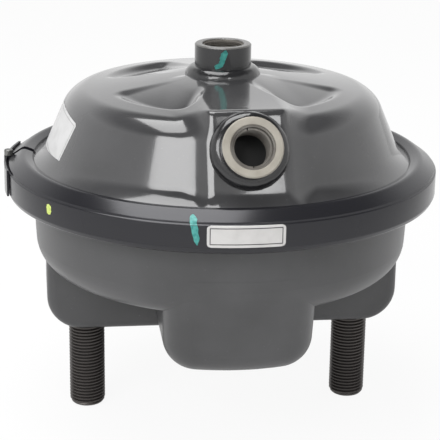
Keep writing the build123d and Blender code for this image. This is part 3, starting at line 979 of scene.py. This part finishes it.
@dataclass
class PressureHousing:
    """Pressed cover, drawn in one sheet: crown, pockets, pad and arm run softly into each other."""

    foot_radius: float = 80.4
    foot_z: float = 72.5
    side_slope: float = 0.43302
    crown_z: float = 110.6
    crown_seat: float = 20.0
    crown_slope: float = 0.12903
    crown_round: float = 1.0
    shoulder_size: float = 6.0
    sheet: float = 3.0
    flange_radius: float = 91.5
    flange_edge: float = 1.0
    flange_lap: float = 4.0
    foot_round: float = 9.0
    hole_radius: float = 12.35
    clocking: float = 1.7
    pad_top_radius: float = 65.2
    pad_top_z: float = 109.6
    pad_tilt: float = 25.2011
    pad_half_top: float = 15.0
    pad_half_flare: float = 0.0375
    pad_side: float = 38.0
    pad_depth: float = 55.0
    pad_edge: float = 1.4
    arm_z: float = 110.2
    arm_half_width: float = 16.5
    arm_fall: float = 0.8
    valley: float = 5.0
    pocket_line: float = 33.2
    pocket_turn: float = -55.3
    pocket_start_z: float = 108.85
    pocket_fall: float = 0.329
    pocket_rim: float = 49.5
    pocket_sides: Point = (-65.5, -18.0)  # degrees
    pocket_soft: float = 3.5
    pocket_edge: float = 4.0
    crown_reach: float = 56.0
    crown_lean: float = 25.0
    shoulder_guide: tuple[Corner, ...] = (
        (56.0, 105.95, 65.0),
        (62.5, 104.6, 52.0),
        (66.0, 102.0, 38.0),
        (69.0, 98.8, 26.0),
        (78.5, 76.9, 20.0),
    )
    foot_guide: tuple[Corner, ...] = (
        shoulder_guide[-1],
        (80.6, 74.2, 42.0),
        (84.6, foot_z, 90.0),
        (90.0, foot_z, 90.0),
    )
    foot_rows: int = 6
    search: Point3 = (-6.0, -12.0, 22.0)  # start for the outer skin, start for the inner skin, end
    search_steps: int = 34
    pad_sector: tuple[float, float, int] = (-114.0, -66.0, 81)  # degrees from and to, and columns
    far_columns: int = 261
    outer_steps: Point = (0.9, 0.8)  # on the crown, further out
    inner_steps: Point = (2.6, 2.4)
    drill_ends: Point = (-40.0, 20.0)
    drill_steps: int = 96

    def pad(self, x: Field, y: Field, z: Field) -> Field:
        """Measures from the pad and its arm.

        Args:
            x: places across the pad.
            y: places along the arm, which runs towards -Y.
            z: heights.

        Returns:
            The distance outside them.
        """
        tilt, draft = math.radians(self.pad_tilt), math.radians(self.pad_side)
        out, up = -y - self.pad_top_radius, z - self.pad_top_z
        front = out * math.cos(tilt) + up * math.sin(tilt)
        down = out * math.sin(tilt) - up * math.cos(tilt)
        half = self.pad_half_top + self.pad_half_flare * down - front * math.tan(draft)
        side = (np.abs(x) - half) * math.cos(draft)
        ridge = z - self.arm_z
        fall = math.atan(self.arm_fall)
        roof = ridge * math.cos(fall) + (np.abs(x) - self.arm_half_width) * math.sin(fall)
        ends = round_max(front, -front - self.pad_depth, self.pad_edge)
        walls, top = round_max(ends, side, self.pad_edge), round_max(ridge, roof, self.pad_edge)
        return round_max(walls, top, self.pad_edge)

    def pocket(self, x: Field, y: Field, z: Field) -> Field:
        """Measures from the four pockets pressed into the crown.

        Args:
            x: places across.
            y: places along.
            z: heights.

        Returns:
            The distance outside the pockets.
        """
        right, front = np.abs(x), -np.abs(y)
        turn = math.radians(self.pocket_turn)
        run = right * math.cos(turn) + front * math.sin(turn) - self.pocket_line
        floor = (self.pocket_start_z - self.pocket_fall * run - z) * math.cos(math.atan(self.pocket_fall))
        low, high = (math.radians(a) for a in self.pocket_sides)
        first = right * math.sin(low) - front * math.cos(low)
        second = front * math.cos(high) - right * math.sin(high)
        rim = np.hypot(x, y) - self.pocket_rim
        sides = round_max(first, second, self.pocket_soft)
        return round_max(round_max(sides, rim, self.pocket_soft), floor, self.pocket_soft)

    def outside(self, x: Field, y: Field, z: Field) -> Field:
        """Measures from the outer skin above the flange.

        Args:
            x: places across.
            y: places along.
            z: heights.

        Returns:
            The distance outside the skin, negative within it.
        """
        radius = np.hypot(x, y)
        lean, fall = math.atan(self.side_slope), math.atan(self.crown_slope)
        side = (radius - self.foot_radius + (z - self.foot_z) * self.side_slope) * math.cos(lean)
        cone = (z - self.crown_z + (radius - self.crown_seat) * self.crown_slope) * math.cos(fall)
        crown = round_max(cone, z - self.crown_z, self.crown_round)
        form = round_min(round_max(side, crown, self.shoulder_size), self.pad(x, y, z), self.valley)
        return round_max(form, -self.pocket(x, y, z), self.pocket_edge)

    def rows(self, steps: Point, foot: Sequence[Corner]) -> list[Corner]:
        """Lists the rows of the skin from the port's hole to the foot.

        Args:
            steps: distance of the rows on the crown, and further out.
            foot: the last rows' own guide.

        Returns:
            Radius, height and the elevation in degrees at which the row looks for the skin.
        """
        rows = []
        count = int((self.crown_reach - self.hole_radius) / steps[0])
        for n in range(count):
            radius = self.hole_radius + (self.crown_reach - self.hole_radius) * n / count
            z = self.crown_z - max(0.0, radius - self.crown_seat) * self.crown_slope
            rows.append((radius, z, 90.0 - self.crown_lean * n / count))
        for here, there in zip(self.shoulder_guide, self.shoulder_guide[1:]):
            count = max(2, int(math.hypot(there[0] - here[0], there[1] - here[1]) / steps[1]))
            rows += between(here, there, count)
        for here, there in zip(foot, foot[1:]):
            rows += between(here, there, self.foot_rows)
        return [*rows, foot[-1]]

    def skin(self, rows: Sequence[Corner], angles: Field, depth: float) -> Field:
        """Finds the skin along each row.

        Args:
            rows: the rows, as listed by rows().
            angles: azimuths of the columns in radians.
            depth: depth under the outer skin.

        Returns:
            The places, as rows by columns by three.
        """
        radius, height, lift = (np.array(column)[:, None] for column in zip(*rows))
        out, up = np.cos(np.radians(lift)), np.sin(np.radians(lift))
        near, deep, end = self.search
        low = np.full((len(rows), len(angles)), deep if depth else near)
        high = np.full_like(low, end)

        def place(reach: Field) -> tuple[Field, Field, Field]:
            """Gives the places at a reach along the rows' directions."""
            flat = radius + reach * out
            return flat * np.cos(angles), flat * np.sin(angles), height + reach * up

        for _ in range(self.search_steps):
            middle = (low + high) / 2
            x, y, z = place(middle)
            found = self.outside(x, y, z) + depth
            if not depth:
                found = round_min(found, z - self.foot_z, self.foot_round)
            low = np.where(found < 0.0, middle, low)
            high = np.where(found < 0.0, high, middle)
        return np.stack(place((low + high) / 2), axis=-1)

    def build(self) -> None:
        """Builds the cover."""
        start, end, count = self.pad_sector
        near = np.radians(np.linspace(start, end, count))
        far = np.radians(np.linspace(end, start + 360.0, self.far_columns))[1:-1]
        angles = np.concatenate([near, far])
        bottom_z = self.foot_z - self.sheet
        inner_foot = self.foot_radius - (bottom_z - self.foot_z) * self.side_slope
        outer = self.skin(self.rows(self.outer_steps, self.foot_guide), angles, 0.0)
        inner_rows = self.rows(self.inner_steps, [self.foot_guide[0], (inner_foot, bottom_z, 0.0)])
        inner = self.skin(inner_rows, angles, self.sheet)[::-1]
        edge = [
            (self.flange_radius - self.flange_edge, self.foot_z),
            (self.flange_radius, self.foot_z - self.flange_edge),
            (self.flange_radius, bottom_z),
            (self.flange_radius - self.flange_lap, bottom_z),
        ]
        rim = np.array([[(r * math.cos(a), r * math.sin(a), z) for a in angles] for r, z in edge])
        grid = np.concatenate([outer, rim, inner])
        turn = math.radians(self.clocking)
        x, y = grid[..., 0].copy(), grid[..., 1].copy()
        grid[..., 0] = x * math.cos(turn) - y * math.sin(turn)
        grid[..., 1] = x * math.sin(turn) + y * math.cos(turn)
        faces = woven(*grid.shape[:2], True, True)
        shape = Shape([Vector(v) for v in grid.reshape(-1, 3)], faces)
        low, high = self.drill_ends
        wall = [(0.0, low), (self.hole_radius, low), (self.hole_radius, high), (0.0, high)]
        drill = revolved(wall, False, self.drill_steps)
        place = port_place("side_port")
        drill.moved(lambda v: place @ (v * MM) / MM)
        shape.make("pressed_cover", COVER_PAINT, Body.CHAMBER, ["pressure_housing"], cutter=drill)
        LOG.info("pressure housing built")


@dataclass
class ClampRing:
    """Rolled ring that holds the two housings together, open at its lock."""

    radius: float = 94.2
    wall_low: float = 61.4
    wall_high: float = 71.7
    wall_foot: float = 0.4
    split_angle: float = 174.0
    gap: float = 4.6
    steps: int = 288

    def outline(self) -> list[Point]:
        """Gives the ring's section with its grooves and rolled lips.

        Returns:
            The (radius, z) points.
        """
        radius = self.radius
        return rounded(
            [
                (86.7, 58.6, 0.4),
                (87.3, 57.9, 0.4),
                (radius - 0.9, self.wall_low - 1.0, 1.2),
                (radius, self.wall_low + 0.9, 1.0),
                (radius, self.wall_high, 0.4),
                (radius - 0.7, self.wall_high + 0.35, 0.25),
                (radius - 0.9, self.wall_high + 1.1, 0.5),
                (87.2, 77.1, 3.0),
                (83.0, 75.5, 0.5),
                (82.7, 74.6, 0.4),
                (84.2, 73.7, 0.5),
                (87.3, 74.8, 2.0),
                (91.8, 72.0, 1.0),
                (91.8, 62.5, 1.0),
            ],
            closed=True,
        )

    def outer_face(self) -> list[Point]:
        """Gives the part of the section that faces outwards, from the foot of the wall to the crest.

        Returns:
            The (radius, z) points.
        """
        points = self.outline()
        crest = points.index(max(points, key=lambda point: point[1]))
        return [point for point in points[: crest + 1] if point[1] > self.wall_low + self.wall_foot]

    def build(self) -> None:
        """Builds the ring."""
        half = math.degrees(self.gap / 2 / self.radius)
        ring = revolved(self.outline(), True, self.steps, self.split_angle + half, 360.0 - 2 * half)
        ring.make("rolled_clamp_ring", RING_PAINT, Body.CHAMBER, ["clamp_ring"], sharp=50.0)
        LOG.info("clamp ring built")


@dataclass
class Internals:
    """Pieces inside the chamber: the diaphragm, the return spring and the boot."""

    stroke: float = 57.0
    diaphragm_clamp_z: float = 69.0
    diaphragm_plate_z: float = 96.5
    boot_flange: float = 2.0
    boot_neck: float = 6.0

    def copied(self, node: str, name: str, finish: Finish) -> bpy.types.Object:
        """Copies a frame node's mesh as a free piece in the same place.

        Args:
            node: the frame node.
            name: name of the copy.
            finish: its finish.

        Returns:
            The copy, which hangs on no other object.
        """
        source = frame["nodes"][node]
        made = source.copy()
        made.data = source.data.copy()
        made.name = name
        made.parent = None
        made.matrix_world = source.matrix_world.copy()
        bpy.context.scene.collection.objects.link(made)
        made.data.materials.clear()
        made.data.materials.append(finish.material())
        return made

    def build(self) -> None:
        """Copies the diaphragm, the spring and the boot from their frame nodes as pieces of their own."""
        diaphragm = self.copied("diaphragm", "rolling_diaphragm", DIAPHRAGM_RUBBER)
        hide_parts("diaphragm")
        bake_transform(diaphragm)
        spring = self.copied("return_spring", "coiled_return_spring", SPRING_STEEL)
        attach(spring, Body.CHAMBER.value)
        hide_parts("return_spring")
        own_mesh(spring)
        boot = self.copied("boot", "folded_boot", BOOT_RUBBER)
        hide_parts("boot")
        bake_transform(boot)
        LOG.info("diaphragm, spring and boot built")


@dataclass
class CarriedPieces:
    """The lower housing and the plain pieces, whose frame nodes are shown as they are."""

    finishes: tuple[tuple[Finish, tuple[str, ...]], ...] = (
        (BOWL_PAINT, ("lower_housing",)),
        (RING_PAINT, ("ring_hasp_front", "ring_hasp_rear")),
        (ZINC, ("pressure_plate", "rod_socket", "boot_clip", "spring_seat")),
        (LOCK_STEEL, ("ring_lock_pin",)),
        (ROD_STEEL, ("pushrod", "rod_tip")),
        (STUD_STEEL, ("stud_plate",)),
        (BOOT_RUBBER, ("flange_seal",)),
        (PLUG_PLASTIC, ("drain_plugs",)),
    )

    def build(self) -> None:
        """Dresses the carried-over nodes."""
        for finish, nodes in self.finishes:
            finish.dress(*nodes)
        LOG.info("carried pieces dressed")


@dataclass
class Markings:
    """Blank tag, blank sticker and inspection dabs on the outside."""

    lift: float = 0.05
    shoulder_z: float = 98.3
    shoulder_round: float = 12.3
    port_radius: float = PortBoss.radius
    tag_size: Point3 = (31.0, 9.0, 1.6)  # width, height, corner radius
    tag_place: Point = (-90.9, 5.3)  # azimuth in degrees, reach up the ring
    sticker_size: Point3 = (32.0, 20.5, 1.2)
    sticker_azimuth: float = -170.5
    sticker_drop: float = 10.0
    sticker_tilt: float = 6.0
    label_steps: tuple[int, int] = (40, 24)
    dab_steps: tuple[int, int] = (8, 36)
    rag: float = 0.35
    rag_scales: Point = (7.0, 3.0)  # along the stroke, from side to side
    end_width: float = 0.25
    end_taper: float = 6.0
    stripe: tuple[Corner, ...] = (
        (-104.0, 14.8, 1.3),
        (-103.6, 11.0, 1.4),
        (-103.0, 6.0, 1.3),
        (-102.6, 1.6, 0.9),
    )
    dot: tuple[Corner, ...] = ((-144.8, 3.6, 1.2), (-144.7, 5.8, 1.6), (-144.8, 8.0, 1.3))
    smear: tuple[Corner, ...] = (
        (-92.0, 123.6, 1.5),
        (-96.0, 120.5, 1.3),
        (-100.0, 118.0, 1.2),
        (-110.0, 115.4, 2.2),
    )
    ring: ClampRing = field(default_factory=ClampRing)
    cover: PressureHousing = field(default_factory=PressureHousing)

    def on_ring(self, azimuth: float, reach: float) -> Vector:
        """Gives a place just off the ring's outer face.

        Args:
            azimuth: angle round the Z axis in degrees.
            reach: length along the ring's section, up from the foot of its wall.

        Returns:
            The place.
        """
        points = self.ring.outer_face()
        for (r0, z0), (r1, z1) in zip(points, points[1:]):
            run = math.hypot(r1 - r0, z1 - z0)
            if reach <= run or (r1, z1) == points[-1]:
                share = reach / run
                across, up = (z1 - z0) / run, -(r1 - r0) / run
                radius = r0 + (r1 - r0) * share + across * self.lift
                return turned(radius, z0 + (z1 - z0) * share + up * self.lift, math.radians(azimuth))
            reach -= run
        raise ValueError("the ring's outer face is empty")

    def on_cover(self, azimuth: float, along: float, up: float) -> Vector:
        """Gives a place just off the cover, laid out flat round a point of its sloping side.

        Args:
            azimuth: angle of that point round the Z axis in degrees.
            along: way round the side from it.
            up: height up the slope from the shoulder's start.

        Returns:
            The place.
        """
        cover = self.cover
        lean = math.atan(cover.side_slope)
        top_radius = cover.foot_radius - (self.shoulder_z - cover.foot_z) * cover.side_slope
        slant = top_radius / math.sin(lean) - up
        angle = math.radians(azimuth) + math.atan2(along, slant) / math.sin(lean)
        drop = math.hypot(along, slant) - top_radius / math.sin(lean)
        if drop >= 0.0:
            radius = top_radius + drop * math.sin(lean) + self.lift * math.cos(lean)
            z = self.shoulder_z - drop * math.cos(lean) + self.lift * math.sin(lean)
            return turned(radius, z, angle)
        bend = lean - drop / self.shoulder_round
        hub = top_radius - self.shoulder_round * math.cos(lean)
        reach = self.shoulder_round + self.lift
        z = self.shoulder_z + reach * math.sin(bend) - self.shoulder_round * math.sin(lean)
        return turned(hub + reach * math.cos(bend), z, angle)

    def on_top_port(self, azimuth: float, z: float) -> Vector:
        """Gives a place just off the side of the top port, from an azimuth in degrees and a height."""
        return turned(self.port_radius + self.lift, z, math.radians(azimuth))

    def rounded_label(self, size: Point3, place: Callable[[float, float], Vector]) -> Shape:
        """Builds a label with round corners that follows a surface.

        Args:
            size: its width, its height and the radius of its corners.
            place: gives the place of a point from its way off the label's middle.

        Returns:
            The label.
        """
        width, height, corner = size

        def outline(u: float, v: float) -> Point:
            """Turns shares of the label into its own lengths.

            Args:
                u: share of the width.
                v: share of the height.

            Returns:
                Way across and up from the middle.
            """
            y = (v - 0.5) * height
            over = max(0.0, abs(y) - (height / 2 - corner))
            half = width / 2 - corner + math.sqrt(max(0.0, corner * corner - over * over))
            return ((2 * u - 1) * half, y)

        return patch(outline, place, *self.label_steps)

    def dab(
        self, path: Sequence[Corner], place: Callable[[float, float], Vector], scale: float, seed: float
    ) -> Shape:
        """Builds a ragged stroke of paint along a path.

        Args:
            path: (azimuth, height, half width) along the stroke.
            place: gives a place on the surface from azimuth and height.
            scale: millimetres per degree of azimuth.
            seed: moves the ragged edge along the noise.

        Returns:
            The stroke.
        """

        def outline(u: float, v: float) -> Point:
            """Turns shares of the stroke into azimuth and height.

            Args:
                u: share across.
                v: share along.

            Returns:
                Azimuth and height.
            """
            at = min(v * (len(path) - 1), len(path) - 1.001)
            here, there = path[int(at)], path[int(at) + 1]
            azimuth, height, half = (a + (b - a) * (at - int(at)) for a, b in zip(here, there))
            side = 1.0 if u > 0.5 else -1.0
            along, over = self.rag_scales
            ragged = noise.noise(Vector((v * along + seed, side * over, seed)))
            end = min(1.0, self.end_taper * min(v, 1.0 - v) + self.end_width)
            half *= (1.0 + self.rag * ragged) * end
            return (azimuth + (2 * u - 1) * half / scale, height)

        return patch(outline, place, *self.dab_steps)

    def build(self) -> None:
        """Builds the markings."""
        ring_scale = TURN * self.ring.radius / 360.0
        port_scale = TURN * self.port_radius / 360.0
        azimuth, middle = self.tag_place
        tag = self.rounded_label(
            self.tag_size, lambda across, up: self.on_ring(azimuth + across / ring_scale, middle + up)
        )
        tag.make("blank_ring_tag", RING_TAG, Body.CHAMBER)
        tilt = math.radians(self.sticker_tilt)

        def on_side(across: float, up: float) -> Vector:
            """Places a point of the leaning sticker.

            Args:
                across: way across the sticker.
                up: way up the sticker.

            Returns:
                Its place on the cover.
            """
            along = across * math.cos(tilt) + up * math.sin(tilt)
            rise = up * math.cos(tilt) - across * math.sin(tilt)
            return self.on_cover(self.sticker_azimuth, along, rise - self.sticker_drop)

        self.rounded_label(self.sticker_size, on_side).make("blank_sticker", STICKER, Body.CHAMBER)
        dabs = (
            ("ring_marker_stripe", self.stripe, self.on_ring, ring_scale, 2.0, MARKER),
            ("ring_marker_dot", self.dot, self.on_ring, ring_scale, 5.0, MARKER_DOT),
            ("port_marker_smear", self.smear, self.on_top_port, port_scale, 8.0, BOSS_MARKER),
        )
        for name, path, place, scale, seed, finish in dabs:
            self.dab(path, place, scale, seed).make(name, finish, Body.CHAMBER)
        LOG.info("markings built")


@dataclass(frozen=True)
class Softbox:
    """A soft light, placed by its direction as seen from the part."""

    name: str
    azimuth: float  # degrees to the right of the camera
    elevation: float  # degrees above the floor
    size: Point  # width and height in metres
    watts: float
    distance: float = 1.1  # metres from the part's middle


@dataclass
class Studio:
    """Camera, soft lights, floor and world."""

    lens: float = 127.83
    sensor: float = 36.0
    clip: Point = (0.05, 20.0)  # metres
    distance: float = 0.7  # metres
    elevation: float = 17.79
    yaw: float = -7.164
    roll: float = 0.837
    shift_right: float = -0.221
    floor_glow: float = 0.92
    floor_mirror: float = 0.5
    aim_z: float = 44.005
    floor_z: float = -41.75
    floor_half: float = 3.0  # metres
    floor_speck: float = 3.0
    floor_tones: tuple[Colour, Colour] = ((0.80, 0.80, 0.80), (0.84, 0.84, 0.84))
    surrounding: tuple[float, ...] = (-0.2, 1.0, 0.35, 0.55)  # heights from and to, strengths there
    backdrop: tuple[float, ...] = (0.5, 0.72, 1.0, 0.12)
    light_aim: Point3 = (0.0, 0.0, 0.05)  # metres
    softboxes: tuple[Softbox, ...] = (
        Softbox("overhead", -95.0, 79.0, (0.84, 0.70), 10.5),
        Softbox("left_window", -29.0, 34.5, (0.64, 0.39), 5.2),
        Softbox("right_sliver", 23.2, 33.5, (0.15, 0.28), 0.85),
    )

    def camera(self) -> None:
        """Places the camera."""
        yaw, lift, roll = (math.radians(a) for a in (self.yaw, self.elevation, self.roll))
        back = Vector((math.sin(yaw) * math.cos(lift), -math.cos(yaw) * math.cos(lift), math.sin(lift)))
        right = Vector((math.cos(yaw), math.sin(yaw), 0.0))
        up = back.cross(right)
        across = right * math.cos(roll) + up * math.sin(roll)
        upward = up * math.cos(roll) - right * math.sin(roll)
        target = right * (self.shift_right * MM) + Vector((0.0, 0.0, self.aim_z * MM))
        data = bpy.data.cameras.new("camera")
        data.lens = self.lens
        data.sensor_width = self.sensor
        data.clip_start, data.clip_end = self.clip
        eye = bpy.data.objects.new("camera", data)
        bpy.context.scene.collection.objects.link(eye)
        place = Matrix((across, upward, back)).transposed().to_4x4()
        place.translation = target + back * self.distance
        eye.matrix_world = place
        bpy.context.scene.camera = eye

    def softbox(self, light: Softbox) -> None:
        """Adds one soft light.

        Args:
            light: the light and its place.
        """
        turn, lift = math.radians(self.yaw + light.azimuth), math.radians(light.elevation)
        flat, rise = light.distance * math.cos(lift), light.distance * math.sin(lift)
        place = (flat * math.sin(turn), -flat * math.cos(turn), self.aim_z * MM + rise)
        data = bpy.data.lights.new(light.name, "AREA")
        data.shape = "RECTANGLE"
        data.size, data.size_y = light.size
        data.energy = light.watts
        lamp = bpy.data.objects.new(light.name, data)
        lamp.location = place
        lamp.rotation_mode = "QUATERNION"
        lamp.rotation_quaternion = (Vector(self.light_aim) - Vector(place)).to_track_quat("-Z", "Y")
        bpy.context.scene.collection.objects.link(lamp)

    def floor(self) -> None:
        """Lays a pale floor that looks white to the camera."""
        graph = Graph("pale_floor")
        speck = graph.noise(self.floor_speck, 2.0)
        tone = graph.mix(graph.spread(speck, 0.3, 0.7), *self.floor_tones)
        diffuse = graph.node("ShaderNodeBsdfDiffuse")
        graph.put(diffuse.inputs["Color"], tone)
        glow = graph.node("ShaderNodeEmission")
        glow.inputs["Color"].default_value = WHITE
        glow.inputs["Strength"].default_value = 1.0
        chooser = graph.node("ShaderNodeMixShader")
        paths = graph.node("ShaderNodeLightPath").outputs
        mirrored = graph.maths("MAXIMUM", paths["Is Glossy Ray"], paths["Is Transmission Ray"])
        seen = graph.maths("MULTIPLY", paths["Is Camera Ray"], self.floor_glow)
        mirrored = graph.maths("MULTIPLY", mirrored, self.floor_mirror)
        graph.put(chooser.inputs[0], graph.maths("MAXIMUM", seen, mirrored))
        graph.put(chooser.inputs[1], diffuse.outputs[0])
        graph.put(chooser.inputs[2], glow.outputs[0])
        end = graph.node("ShaderNodeOutputMaterial")
        graph.tree.links.new(chooser.outputs[0], end.inputs["Surface"])
        mesh = bpy.data.meshes.new("floor")
        half, z = self.floor_half, self.floor_z * MM
        corners = [(-half, -half, z), (half, -half, z), (half, half, z), (-half, half, z)]
        mesh.from_pydata(corners, [], [(0, 1, 2, 3)])
        mesh.materials.append(graph.material)
        made = bpy.data.objects.new("floor", mesh)
        bpy.context.scene.collection.objects.link(made)

    def world(self) -> None:
        """Sets a white backdrop below a dark ceiling, and a softer surrounding for the light."""
        world = bpy.data.worlds.new("studio")
        bpy.context.scene.world = world
        world.use_nodes = True
        tree = world.node_tree
        tree.nodes.clear()

        def made(kind: str, *links: object, **inputs: object) -> bpy.types.NodeSocket:
            """Adds a node to the world.

            Args:
                kind: Blender's node type name.
                links: sockets or numbers for its inputs, in order; None leaves one alone.
                inputs: constants by input name, with underscores for spaces.

            Returns:
                Its first output.
            """
            node = tree.nodes.new(kind)
            for socket, value in zip(node.inputs, links):
                if isinstance(value, bpy.types.NodeSocket):
                    tree.links.new(value, socket)
                elif value is not None:
                    socket.default_value = value
            for key, value in inputs.items():
                node.inputs[key.replace("_", " ")].default_value = value
            return node.outputs[0]

        paths = tree.nodes.new("ShaderNodeLightPath").outputs
        split = tree.nodes.new("ShaderNodeSeparateXYZ")
        tree.links.new(tree.nodes.new("ShaderNodeTexCoord").outputs["Generated"], split.inputs[0])
        height = split.outputs["Z"]
        soft, backdrop = (
            made("ShaderNodeMapRange", height, From_Min=low, From_Max=high, To_Min=first, To_Max=last)
            for low, high, first, last in (self.surrounding, self.backdrop)
        )
        strengths = (soft, backdrop, 1.0)
        around, mirrored, white = (made("ShaderNodeBackground", WHITE, glow) for glow in strengths)
        lit = made("ShaderNodeMixShader", paths["Is Glossy Ray"], around, mirrored)
        clear = made("ShaderNodeMixShader", paths["Is Transmission Ray"], lit, white)
        shown = made("ShaderNodeMixShader", paths["Is Camera Ray"], clear, white)
        end = tree.nodes.new("ShaderNodeOutputWorld")
        tree.links.new(shown, end.inputs["Surface"])

    def build(self) -> None:
        """Sets the whole studio up."""
        self.camera()
        self.floor()
        self.world()
        for light in self.softboxes:
            self.softbox(light)
        bpy.context.scene.view_settings.view_transform = "Standard"
        LOG.info("studio set")


# ---------------------------------------------------------------- building


def port_place(mount: str) -> Matrix:
    """Gives the transform of a port's face from its mount in the record.

    Args:
        mount: name of the mount, whose place lies on the port's axis.

    Returns:
        A transform whose z = 0 is the face and whose +Z points out of the port.
    """
    found = next(m for m in frame["record"]["mounts"] if m["name"] == mount)
    axis = Vector(found["axis"]).normalized()
    across = Vector((1.0, 0.0, 0.0))
    across = (across - axis * across.dot(axis)).normalized()
    up = axis.cross(across)
    place = Matrix((across, up, axis)).transposed().to_4x4()
    place.translation = Vector(found["pos_m"]) + axis * MOUNT_DEPTH * MM
    return place


# Each port's name, the height of its face over its weld bead's foot, the bead's radius and the face's finish.
PORTS = (("top_port", 13.9, 16.5, RIM_PAINT), ("side_port", 9.3196, 16.2, FACE_STEEL))


def main() -> None:
    """Builds every sub-assembly in order and sets the studio."""
    logging.basicConfig(level=logging.INFO)
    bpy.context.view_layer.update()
    CarriedPieces().build()
    PressureHousing().build()
    for name, stand, bead_radius, finish in PORTS:
        PortBoss(name, port_place(name), stand, bead_radius, finish).build()
    MountingStuds().build()
    ClampRing().build()
    Internals().build()
    Markings().build()
    Studio().build()
    LOG.info("air brake chamber built")


if __name__ == "__main__":
    main()
